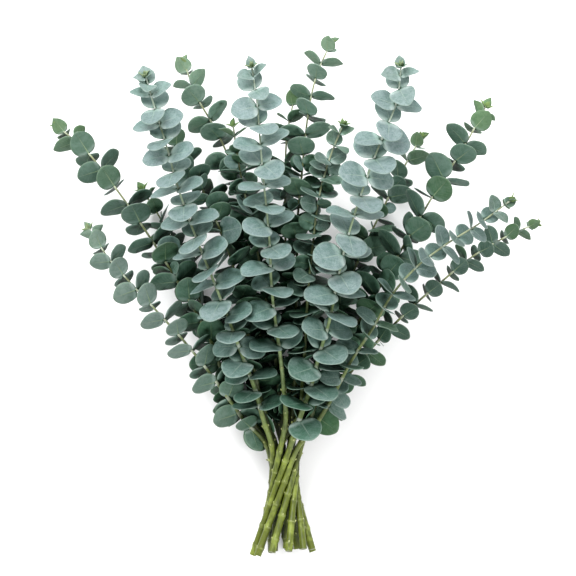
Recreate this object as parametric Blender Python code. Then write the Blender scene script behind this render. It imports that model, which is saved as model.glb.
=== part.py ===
# A cut bunch of silver eucalyptus branches, laid down on a flat surface.
# Metres, +Z up. The surface is z = 0, the cut ends point to -Y and the tips to +Y.
# Each branch is one solid: its stem with the pairs of round leaves that grow on it.
import math
import random

import bpy
import bmesh
from mathutils import Vector
from mathutils.bvhtree import BVHTree

MM = 0.001

# The bunch
BUNCH_SHIFT = Vector((-11.0, -260.2, 0.0))  # from the drawing's origin at the cut ends to the middle
SEED = 7

# The neck, where the stems cross as straight lines that all lean the same way round it
NECK_Y = 78.0
NECK_X = -2.0
NECK_HEIGHT = 35.0
NECK_RISE = 0.05  # how the neck's own axis climbs towards the tips
TWIST = 0.0304  # sideways run of a stem for each mm along the neck, over its ring radius
RINGS = {  # radius, stems, place of the first one in degrees, width of a stem at its cut end
    "outer": dict(radius=12.25, stems=11, first=15.0, width=7.1),
    "inner": dict(radius=5.6, stems=5, first=16.0, width=6.7),
}
TIP_WIDTH = 1.6
SLENDER_WIDTH = 3.0  # towards this, then the tip's width, a stem tapers beyond the neck
TAPER_REACH = 0.40  # how far along it does so, as a share of its length, and how suddenly
TAPER_POWER = 2.0
NECK_STATIONS = (-38.0, 0.0, 15.0, 30.0)

# Leaves
BLADE = 0.8  # thickness
ROOT_PLACE = 0.22  # how far from the stem's middle a leaf starts, over the stem's width
SHORTEST_LEAF = 8.0
CLEARANCE = 0.9  # kept between leaves, and between leaves and other stems
MOST_SUNK = 7.0  # a leaf that would reach further below the surface gives way, others are pressed flat
TOPMOST = 2.5  # from the topmost pair to the stem's end
LENGTH_SPREAD = (0.90, 1.06)
CURL_SPREAD = (-0.04, 0.14)  # droop of the leaf's tip over its length
TURN_SPREAD = 12.0
LEAN_SPREAD = 11.0
ROLL_SPREAD = 19.0
TIP_LEAN = 48.0  # more lean of the topmost pair
HANG_LEAN = -38.0  # lean and facing of the lowest pairs where they hang back
HANG_FACING = 50.0
HANG_REACH = 24.0
TIP_FACING = 0.6  # more facing at the tip, as a share of the branch's own
FACING_PAIRS = 4.0
# From the tip down, pairs grow longer and broader, lean less and stand further apart, each like
# low + (1 - low) * (1 - exp(-(count + ahead) / pairs))
LENGTH_GROWTH = dict(low=0.32, ahead=0.3, pairs=2.0)
WIDTH_GROWTH = dict(low=0.70, ahead=0.2, pairs=1.8)
SPACING_GROWTH = dict(low=0.38, ahead=0.0, pairs=1.8)
LEAN_GROWTH = dict(low=0.0, ahead=0.0, pairs=1.4)
# Outlines as (along the leaf, share of its width)
GROWN_OUTLINE = ((0.0, 0.0), (0.26, 0.90), (0.70, 0.94), (1.0, 0.0))
YOUNG_OUTLINE = ((0.0, 0.0), (0.42, 1.0), (1.0, 0.0))
YOUNG_LENGTH = 18.0  # leaves up to this length have the simpler outline
TONES = {"pale": (0.38, 0.53, 0.49), "grey": (0.28, 0.44, 0.38), "green": (0.20, 0.37, 0.29)}

# Stem meshes
STEM_STEP = 38.0
CURVE_STEP = 4.0

# Each branch: its ring and place in the neck, the y of its cut end, and the way that its stem takes beyond
# the neck, in mm from the middle of the cut ends. Then its leaves: the longest, their width over their
# length, the widest spacing along the stem, their lean towards the tip, how far the pairs are tipped to show
# their upper faces to the sky (their undersides if below 0), where round the stem the topmost pair stands,
# from straight up, and its drift from pair to pair, all in degrees, the y of the lowest pair, how far the
# lowest pairs hang back, and the tone.
BRANCHES = {
    "centre_pale_branch": dict(
        ring="outer", place=4, cut=1,
        path=((-1, 126, 56), (-3, 178, 82), (-8, 219, 102), (-14, 264, 120), (-16, 310, 133),
              (-20, 355, 143), (-24, 394, 149), (-29, 456, 157), (-34, 490, 162)),
        leaf=31, broad=1.12, gap=21, lean=5, facing=31, turn=8, drift=2, lowest=195, hang=0, tone="pale"),
    "left_pale_branch": dict(
        ring="outer", place=5, cut=2,
        path=((-19, 124, 55), (-32, 171, 80), (-44, 203, 96), (-65, 259, 118), (-87, 314, 134),
              (-106, 366, 147), (-119, 413, 156), (-132, 455, 162), (-139, 480, 165)),
        leaf=30, broad=1.12, gap=17.5, lean=3, facing=31, turn=80, drift=-1, lowest=142, hang=0, tone="pale"),
    "right_pale_branch": dict(
        ring="outer", place=3, cut=0,
        path=((9, 126, 62), (22, 161, 80), (33, 202, 98), (44, 240, 114), (54, 291, 130),
              (65, 333, 140), (79, 376, 148), (93, 413, 154), (105, 443, 158), (113, 467, 161),
              (114, 490, 165)),
        leaf=32, broad=1.12, gap=20.5, lean=5, facing=32, turn=20, drift=1, lowest=136, hang=0.2, tone="pale"),
    "right_grey_branch": dict(
        ring="outer", place=2, cut=0,
        path=((35, 140, 56), (50, 167, 72), (66, 198, 90), (92, 238, 104), (111, 271, 112),
              (142, 301, 117), (168, 319, 117), (203, 341, 114), (225, 358, 112)),
        leaf=23, broad=1.05, gap=17.5, lean=18, facing=26, turn=80, drift=2, lowest=142, hang=0.6, tone="grey"),
    "centre_right_branch": dict(
        ring="inner", place=2, cut=4,
        path=((13, 143, 61), (17, 183, 83), (20, 228, 99), (22, 268, 107), (27, 313, 112),
              (31, 351, 113), (39, 383, 112), (47, 410, 110), (57, 433, 108)),
        leaf=24, broad=1.1, gap=20, lean=14, facing=24, turn=30, drift=3, lowest=170, hang=0, tone="grey"),
    "right_wide_branch": dict(
        ring="outer", place=1, cut=4,
        path=((26, 143, 48), (39, 178, 59), (59, 213, 68), (79, 246, 75), (97, 276, 80),
              (120, 316, 84), (141, 352, 84), (165, 390, 80), (192, 435, 74), (201, 453, 70)),
        leaf=30, broad=1.05, gap=23, lean=18, facing=-30, turn=10, drift=1, lowest=128, hang=1, tone="green"),
    "left_wide_branch": dict(
        ring="outer", place=7, cut=6,
        path=((-36, 138, 35), (-55, 166, 46), (-80, 226, 60), (-97, 256, 62), (-135, 318, 63),
              (-172, 371, 57), (-207, 414, 47), (-232, 434, 40)),
        leaf=29, broad=1.05, gap=23.5, lean=20, facing=-32, turn=100, drift=1, lowest=124, hang=1,
        tone="green"),
    "left_low_branch": dict(
        ring="outer", place=6, cut=5,
        path=((-38, 131, 46), (-61, 163, 62), (-87, 198, 76), (-114, 230, 82), (-144, 262, 84),
              (-170, 291, 84), (-190, 315, 82), (-198, 330, 80)),
        leaf=26, broad=1.05, gap=21, lean=18, facing=-30, turn=10, drift=2, lowest=128, hang=1, tone="grey"),
    "right_low_branch": dict(
        ring="outer", place=0, cut=5,
        path=((30, 133, 40), (51, 166, 44), (74, 196, 48), (95, 219, 51), (124, 248, 54),
              (161, 280, 56), (194, 306, 56), (237, 329, 54), (252, 335, 53)),
        leaf=21, broad=0.95, gap=17, lean=20, facing=-26, turn=80, drift=1, lowest=128, hang=1, tone="green"),
    "left_middle_branch": dict(
        ring="inner", place=3, cut=5,
        path=((-23, 149, 62), (-34, 198, 74), (-43, 248, 82), (-51, 286, 87), (-64, 323, 91),
              (-80, 360, 93), (-98, 396, 94), (-116, 418, 93), (-126, 434, 92)),
        leaf=27, broad=1.05, gap=24, lean=14, facing=-16, turn=20, drift=2, lowest=165, hang=0.3, tone="green"),
    "centre_tall_branch": dict(
        ring="inner", place=1, cut=3,
        path=((8, 158, 50), (10, 198, 63), (10, 248, 76), (11, 298, 85), (12, 346, 88), (17, 392, 88),
              (20, 430, 84), (26, 464, 79), (35, 497, 72), (45, 517, 68)),
        leaf=28, broad=1.05, gap=21, lean=15, facing=-16, turn=75, drift=1, lowest=175, hang=0.3, tone="green"),
    "centre_back_branch": dict(
        ring="inner", place=4, cut=6,
        path=((-6, 158, 48), (-12, 208, 60), (-20, 258, 70), (-29, 308, 79), (-40, 358, 86),
              (-48, 398, 89), (-53, 433, 90)),
        leaf=26, broad=1.05, gap=25, lean=14, facing=-8, turn=15, drift=2, lowest=170, hang=0.3, tone="green"),
    "centre_slim_branch": dict(
        ring="inner", place=0, cut=7,
        path=((3, 158, 42), (4, 198, 47), (2, 248, 52), (0, 298, 56), (-1, 350, 58), (0, 408, 58),
              (3, 440, 57), (9, 465, 56)),
        leaf=26, broad=1.05, gap=25, lean=18, facing=-16, turn=50, drift=2, lowest=165, hang=0.3, tone="green"),
    "left_tall_branch": dict(
        ring="outer", place=9, cut=6,
        path=((-13, 146, 26), (-20, 188, 25), (-28, 238, 25), (-36, 300, 28), (-45, 352, 33),
              (-58, 402, 38), (-77, 441, 42), (-94, 471, 44), (-103, 498, 46)),
        leaf=29, broad=1.05, gap=23, lean=18, facing=-26, turn=80, drift=1, lowest=178, hang=0.3, tone="green"),
    "left_back_branch": dict(
        ring="outer", place=8, cut=3,
        path=((-31, 146, 26), (-56, 190, 23), (-81, 243, 20), (-95, 275, 20), (-116, 320, 20),
              (-133, 350, 21), (-146, 370, 22)),
        leaf=26, broad=1.05, gap=25, lean=18, facing=-20, turn=10, drift=2, lowest=172, hang=0.3, tone="green"),
    "right_back_branch": dict(
        ring="outer", place=10, cut=7,
        path=((19, 146, 30), (34, 194, 27), (52, 244, 23), (69, 288, 22), (89, 332, 23),
              (107, 368, 24), (124, 401, 26), (137, 423, 28)),
        leaf=28, broad=1.05, gap=25, lean=18, facing=-20, turn=60, drift=2, lowest=162, hang=0.3, tone="green"),
}


def neck_point(ring, place, along):
    """Where a stem is at this distance along the neck's axis from the neck."""
    angle = math.radians(ring["first"] + 360.0 * place / ring["stems"])
    run = TWIST * ring["radius"] * along
    return Vector((
        NECK_X + ring["radius"] * math.cos(angle) + run * math.sin(angle),
        NECK_Y + along,
        NECK_HEIGHT + NECK_RISE * along + ring["radius"] * math.sin(angle) - run * math.cos(angle),
    ))


def smooth_line(points, step):
    """Points every step or so along a curve through these ones (centripetal Catmull-Rom)."""
    ends = [2 * points[0] - points[1], *points, 2 * points[-1] - points[-2]]
    line = [points[0].copy()]
    for i in range(1, len(ends) - 2):
        a, b, c, d = ends[i - 1:i + 3]
        t1 = (b - a).length ** 0.5
        t2 = t1 + (c - b).length ** 0.5
        t3 = t2 + (d - c).length ** 0.5
        count = max(2, round((c - b).length / step))
        for n in range(1, count + 1):
            t = t1 + (t2 - t1) * n / count
            ab = a.lerp(b, t / t1)
            bc = b.lerp(c, (t - t1) / (t2 - t1))
            cd = c.lerp(d, (t - t2) / (t3 - t2))
            abc = ab.lerp(bc, t / t2)
            bcd = bc.lerp(cd, (t - t1) / (t3 - t1))
            line.append(abc.lerp(bcd, (t - t1) / (t2 - t1)))
    return line


class Stem:
    """The centre line of one branch, measured along its length, and its width there."""

    def __init__(self, form):
        ring = RINGS[form["ring"]]
        neck = [neck_point(ring, form["place"], along) for along in (form["cut"] - NECK_Y, *NECK_STATIONS)]
        curve = smooth_line(neck + [Vector(p) for p in form["path"]], CURVE_STEP)
        count = round(len(curve) * CURVE_STEP / STEM_STEP)
        self.line = [curve[round((len(curve) - 1) * n / count)] for n in range(count + 1)]
        self.reach = [0.0]
        for a, b in zip(self.line, self.line[1:]):
            self.reach.append(self.reach[-1] + (b - a).length)
        self.length = self.reach[-1]
        self.base_width = ring["width"]

    def at(self, distance):
        """(point, direction) at this distance from the cut end."""
        distance = min(max(distance, 0.0), self.length)
        i = 1
        while i < len(self.reach) - 1 and self.reach[i] < distance:
            i += 1
        a, b = self.line[i - 1], self.line[i]
        share = (distance - self.reach[i - 1]) / (self.reach[i] - self.reach[i - 1])
        return a.lerp(b, share), (b - a).normalized()

    def width(self, distance):
        share = distance / self.length
        slender = SLENDER_WIDTH + (TIP_WIDTH - SLENDER_WIDTH) * share
        return slender + (self.base_width - SLENDER_WIDTH) * math.exp(-(share / TAPER_REACH) ** TAPER_POWER)

    def distance_of_y(self, y):
        n = next(n for n, place in enumerate(self.line) if place.y >= y)
        below, above = self.line[n - 1].y, self.line[n].y
        return self.reach[n - 1] + (self.reach[n] - self.reach[n - 1]) * (y - below) / (above - below)


def stem_mesh(name, stem):
    """A tapered tube of six sides along the stem, as a mesh object."""
    curve = bpy.data.curves.new(name, "CURVE")
    curve.dimensions = "3D"
    curve.bevel_depth = 0.5
    curve.bevel_resolution = 1
    curve.use_fill_caps = True
    spline = curve.splines.new("POLY")
    spline.points.add(len(stem.line) - 1)
    for point, place, distance in zip(spline.points, stem.line, stem.reach):
        point.co = (*place, 1.0)
        point.radius = stem.width(distance)
    bent = bpy.data.objects.new(name, curve)
    bpy.context.scene.collection.objects.link(bent)
    graph = bpy.context.evaluated_depsgraph_get()
    mesh = bpy.data.meshes.new_from_object(bent.evaluated_get(graph))
    bpy.data.objects.remove(bent)
    bpy.data.curves.remove(curve)
    bm = bmesh.new()
    bm.from_mesh(mesh)
    bmesh.ops.remove_doubles(bm, verts=bm.verts, dist=0.01)
    if min(vert.co.z for vert in bm.verts) < 0:  # the lowest cut end is flat where it lies
        whole = bm.verts[:] + bm.edges[:] + bm.faces[:]
        bmesh.ops.bisect_plane(bm, geom=whole, dist=0.001, plane_no=(0, 0, -1), clear_outer=True)
        bmesh.ops.holes_fill(bm, edges=bm.edges)
    bmesh.ops.recalc_face_normals(bm, faces=bm.faces)
    bmesh.ops.triangulate(bm, faces=bm.faces)
    bm.to_mesh(mesh)
    bm.free()
    mesh.name = name
    return mesh


def blade_pattern(outline):
    """A flat leaf of unit length, width and thickness, as ([(along, across, up)], [faces])."""
    bm = bmesh.new()
    rows = len(outline)
    bmesh.ops.create_grid(bm, x_segments=1, y_segments=rows - 1, size=0.5)
    bm.verts.ensure_lookup_table()
    for vert in bm.verts:
        row = round((vert.co.y + 0.5) * (rows - 1))
        along, share = outline[row]
        vert.co = (along, math.copysign(share / 2, vert.co.x), -0.5)
    bmesh.ops.remove_doubles(bm, verts=bm.verts, dist=0.001)
    top = bmesh.ops.extrude_face_region(bm, geom=bm.faces[:])
    for item in top["geom"]:
        if isinstance(item, bmesh.types.BMVert):
            item.co.z = 0.5
    bmesh.ops.recalc_face_normals(bm, faces=bm.faces)
    bm.verts.index_update()
    points = [v.co.copy() for v in bm.verts]
    faces = [[v.index for v in f.verts] for f in bm.faces]
    bm.free()
    return points, faces


def blade_points(pattern, leaf, extra=0.0):
    """The pattern's points laid out as this leaf, grown by extra all round and pressed flat on the surface."""
    points = []
    thick = BLADE + 2 * extra
    for p in pattern:
        across = p.y * (leaf["width"] + 2 * extra)
        along = p.x * (leaf["length"] + (extra if p.x > 0 else 0))
        droop = -leaf["curl"] * leaf["length"] * p.x ** 2
        spot = leaf["base"] + leaf["along"] * along + leaf["across"] * across
        spot += leaf["up"] * (droop + p.z * thick)
        lowest = 0.0 if leaf["up"].z * p.z < 0 else BLADE
        spot.z = max(spot.z, lowest)
        points.append(spot)
    return points


def leaf_at(stem, distance, pose, length, width, curl):
    """A leaf on the stem at this distance. pose is its turn round the stem, its lean towards the tip, its roll
    about its own length and the tip of its pair from level towards the sky, in degrees."""
    turn, lean, roll, facing = (math.radians(angle) for angle in pose)
    point, ahead = stem.at(distance)
    facing -= math.asin(ahead.z)
    side = ahead.cross(Vector((0.0, 0.0, 1.0))).normalized()
    above = side.cross(ahead)
    axis = ahead * math.cos(facing) + above * math.sin(facing)
    front = above * math.cos(facing) - ahead * math.sin(facing)
    outward = side * math.sin(turn) + front * math.cos(turn)
    along = outward * math.cos(lean) + axis * math.sin(lean)
    level = axis * math.cos(lean) - outward * math.sin(lean)
    up = level * math.cos(roll) + along.cross(level) * math.sin(roll)
    return dict(
        base=point + along * ROOT_PLACE * stem.width(distance), along=along, up=up, across=along.cross(up),
        length=length, width=width, curl=curl)


def ways_to_give():
    """How a leaf gives way to its neighbours, mildest first: (more turn, more lean, size)."""
    yield 0, 0, 1.0
    for size, reaches in ((1.0, (11, 22)), (0.84, (8, 20, 34)), (0.68, (10, 28, 44))):
        for reach in reaches:
            for turn, lean in ((0, 1), (1, 0), (-1, 0), (0, -1), (1, 1), (-1, 1), (1, -1), (-1, -1)):
                yield turn * reach, lean * reach, size


class Room:
    """What is already in place, as small search trees that know where they are."""

    def __init__(self):
        self.taken = []

    def add(self, owner, points, faces):
        centre = sum(points, Vector()) / len(points)
        radius = max((p - centre).length for p in points)
        self.taken.append((owner, centre, radius, BVHTree.FromPolygons(points, faces)))

    def is_free(self, points, faces, leave_out=None):
        centre = sum(points, Vector()) / len(points)
        radius = max((p - centre).length for p in points)
        tree = BVHTree.FromPolygons(points, faces)
        for owner, other, reach, taken in self.taken:
            if owner == leave_out or (centre - other).length > radius + reach:
                continue
            if tree.overlap(taken):
                return False
        return True


def grown(count, low, ahead, pairs):
    """How far the pair that is this many below the topmost one has grown, from low to 1."""
    return low + (1 - low) * (1 - math.exp(-(count + ahead) / pairs))


def leaf_spots(stem, form):
    """(distance, place in the order from the tip) of each pair of leaves, from the tip down."""
    lowest = stem.distance_of_y(form["lowest"])
    distance, count = stem.length - TOPMOST, 0
    while distance > lowest:
        yield distance, count
        distance -= form["gap"] * grown(count, **SPACING_GROWTH)
        count += 1


def grow_leaves(name, form, stem, room, patterns, draw):
    """The leaves of one branch, each moved, or made smaller, until it is clear of what is in place."""
    leaves = []
    lowest = stem.distance_of_y(form["lowest"])
    for distance, count in leaf_spots(stem, form):
        hang = form["hang"] * math.exp((lowest - distance) / HANG_REACH)
        lean = form["lean"] + TIP_LEAN * (1 - grown(count, **LEAN_GROWTH))
        lean += (HANG_LEAN - lean) * hang
        facing = form["facing"] * (1 + TIP_FACING * math.exp(-count / FACING_PAIRS))
        facing += (math.copysign(HANG_FACING, facing) - facing) * hang
        turn = form["turn"] + count * (90 + form["drift"])
        broad = form["broad"] * grown(count, **WIDTH_GROWTH)
        for opposite in (0, 180):
            length = form["leaf"] * grown(count, **LENGTH_GROWTH) * draw.uniform(*LENGTH_SPREAD)
            length = max(length, SHORTEST_LEAF)
            pattern, faces = patterns[length <= YOUNG_LENGTH]
            curl = draw.uniform(*CURL_SPREAD)
            turned = turn + opposite + draw.uniform(-TURN_SPREAD, TURN_SPREAD)
            leant = lean + draw.uniform(-LEAN_SPREAD, LEAN_SPREAD)
            rolled = draw.uniform(-ROLL_SPREAD, ROLL_SPREAD)
            for more_turn, more_lean, size in ways_to_give():
                pose = (turned + more_turn, leant + more_lean, rolled, facing)
                leaf = leaf_at(stem, distance, pose, length * size, length * size * broad, curl)
                rough = [leaf["base"] + leaf["along"] * leaf["length"] * s for s in (0.0, 0.6, 1.0)]
                if min(spot.z for spot in rough) < -MOST_SUNK:
                    continue
                if not room.is_free(blade_points(pattern, leaf, CLEARANCE), faces, leave_out=name):
                    continue
                leaf["pattern"] = pattern, faces
                leaves.append(leaf)
                room.add(name + " leaves", blade_points(pattern, leaf), faces)
                break
    return leaves


def leaf_object(name, leaf):
    pattern, faces = leaf["pattern"]
    mesh = bpy.data.meshes.new(name)
    mesh.from_pydata(blade_points(pattern, leaf), [], faces)
    return bpy.data.objects.new(name, mesh)


def paint(name, colour):
    material = bpy.data.materials.new(name)
    material.use_nodes = True
    shader = material.node_tree.nodes["Principled BSDF"]
    shader.inputs["Base Color"].default_value = (*colour, 1.0)
    shader.inputs["Roughness"].default_value = 0.6
    shader.inputs["Metallic"].default_value = 0.0
    return material


def join_branch(name, form, mesh, leaves, bunch):
    """The stem and its leaves as one solid, put where the bunch lies, in metres."""
    branch = bpy.data.objects.new(name, mesh)
    bunch.objects.link(branch)
    grown = bpy.data.collections.new(name + " leaves")
    bpy.context.scene.collection.children.link(grown)
    for n, leaf in enumerate(leaves):
        grown.objects.link(leaf_object(f"{name} leaf {n}", leaf))
    union = branch.modifiers.new("Join leaves", "BOOLEAN")
    union.operation = "UNION"
    union.operand_type = "COLLECTION"
    union.collection = grown
    union.solver = "EXACT"
    graph = bpy.context.evaluated_depsgraph_get()
    joined = bpy.data.meshes.new_from_object(branch.evaluated_get(graph))
    branch.modifiers.clear()
    branch.data = joined
    for piece in list(grown.objects):
        bpy.data.objects.remove(piece)
    bpy.data.collections.remove(grown)
    for vert in joined.vertices:
        vert.co = (vert.co + BUNCH_SHIFT) * MM
    joined.name = name
    joined.materials.clear()
    joined.materials.append(paint(name, TONES[form["tone"]]))
    return branch


def main():
    for old in list(bpy.data.objects):
        bpy.data.objects.remove(old)
    bunch = bpy.data.collections.new("eucalyptus bunch")
    bpy.context.scene.collection.children.link(bunch)
    draw = random.Random(SEED)
    patterns = {False: blade_pattern(GROWN_OUTLINE), True: blade_pattern(YOUNG_OUTLINE)}
    room = Room()
    stems, meshes, leaves = {}, {}, {}
    for name, form in BRANCHES.items():
        stems[name] = Stem(form)
        meshes[name] = stem_mesh(name, stems[name])
        points = [v.co.copy() for v in meshes[name].vertices]
        room.add(name, points, [list(p.vertices) for p in meshes[name].polygons])
    for name, form in BRANCHES.items():
        leaves[name] = grow_leaves(name, form, stems[name], room, patterns, draw)
    for name, form in BRANCHES.items():
        join_branch(name, form, meshes[name], leaves[name], bunch)
        print(name, len(leaves[name]), "leaves")


main()
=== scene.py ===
# A bunch of silver eucalyptus branches: round, thin leaves with veins and bloom, ringed stems with
# fresh cut ends, and young shoots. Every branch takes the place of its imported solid.
import math
import random

import bmesh
import bpy
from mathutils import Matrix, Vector
from mathutils.bvhtree import BVHTree
from mathutils.kdtree import KDTree


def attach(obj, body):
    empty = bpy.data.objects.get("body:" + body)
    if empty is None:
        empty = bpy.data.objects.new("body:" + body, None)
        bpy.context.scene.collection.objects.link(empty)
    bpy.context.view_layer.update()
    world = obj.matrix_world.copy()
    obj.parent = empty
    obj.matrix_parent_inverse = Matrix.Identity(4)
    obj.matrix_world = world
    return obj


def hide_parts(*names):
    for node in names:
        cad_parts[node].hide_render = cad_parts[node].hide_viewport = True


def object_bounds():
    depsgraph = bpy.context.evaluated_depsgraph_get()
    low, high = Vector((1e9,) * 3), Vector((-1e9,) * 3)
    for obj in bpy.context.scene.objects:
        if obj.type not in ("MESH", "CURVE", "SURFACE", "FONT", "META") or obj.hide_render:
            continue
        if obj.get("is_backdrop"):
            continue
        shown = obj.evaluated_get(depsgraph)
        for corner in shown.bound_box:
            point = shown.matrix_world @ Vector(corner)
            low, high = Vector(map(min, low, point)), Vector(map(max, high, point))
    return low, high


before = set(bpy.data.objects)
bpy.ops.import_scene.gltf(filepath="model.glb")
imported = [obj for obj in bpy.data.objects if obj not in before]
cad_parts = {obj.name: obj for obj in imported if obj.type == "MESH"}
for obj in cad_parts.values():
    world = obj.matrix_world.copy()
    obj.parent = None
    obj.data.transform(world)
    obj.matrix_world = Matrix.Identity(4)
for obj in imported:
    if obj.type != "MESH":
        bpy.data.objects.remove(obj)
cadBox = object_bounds()
mm = 0.001

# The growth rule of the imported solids, in mm from the middle of the cut ends, so that every finer
# leaf grows where the solid one does
bunch = dict(shift=Vector((-11.0, -260.2, 0.0)), seed=7)
neck = dict(y=78.0, x=-2.0, height=35.0, rise=0.05, twist=0.0304, stations=(-38.0, 0.0, 15.0, 30.0))
rings = dict(
    outer=dict(radius=12.25, stems=11, first=15.0, width=7.1),
    inner=dict(radius=5.6, stems=5, first=16.0, width=6.7),
)
stemForm = dict(
    tipWidth=1.6, slender=3.0, taperReach=0.40, taperPower=2.0, step=38.0, curveStep=4.0, topmost=2.5)
leafForm = dict(
    blade=0.8, rootPlace=0.22, shortest=8.0, clearance=0.9, mostSunk=7.0,
    lengthSpread=(0.90, 1.06), curlSpread=(-0.04, 0.14), turnSpread=12.0, leanSpread=11.0,
    rollSpread=19.0, tipLean=48.0, hangLean=-38.0, hangFacing=50.0, hangReach=24.0,
    tipFacing=0.6, facingPairs=4.0,
    grownOutline=((0.0, 0.0), (0.26, 0.90), (0.70, 0.94), (1.0, 0.0)),
    youngOutline=((0.0, 0.0), (0.42, 1.0), (1.0, 0.0)), youngLength=18.0,
)
growth = dict(  # from the tip down: low + (1 - low) * (1 - exp(-(count + ahead) / pairs))
    length=dict(low=0.32, ahead=0.3, pairs=2.0),
    width=dict(low=0.70, ahead=0.2, pairs=1.8),
    spacing=dict(low=0.38, ahead=0.0, pairs=1.8),
    lean=dict(low=0.0, ahead=0.0, pairs=1.4),
)
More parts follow.
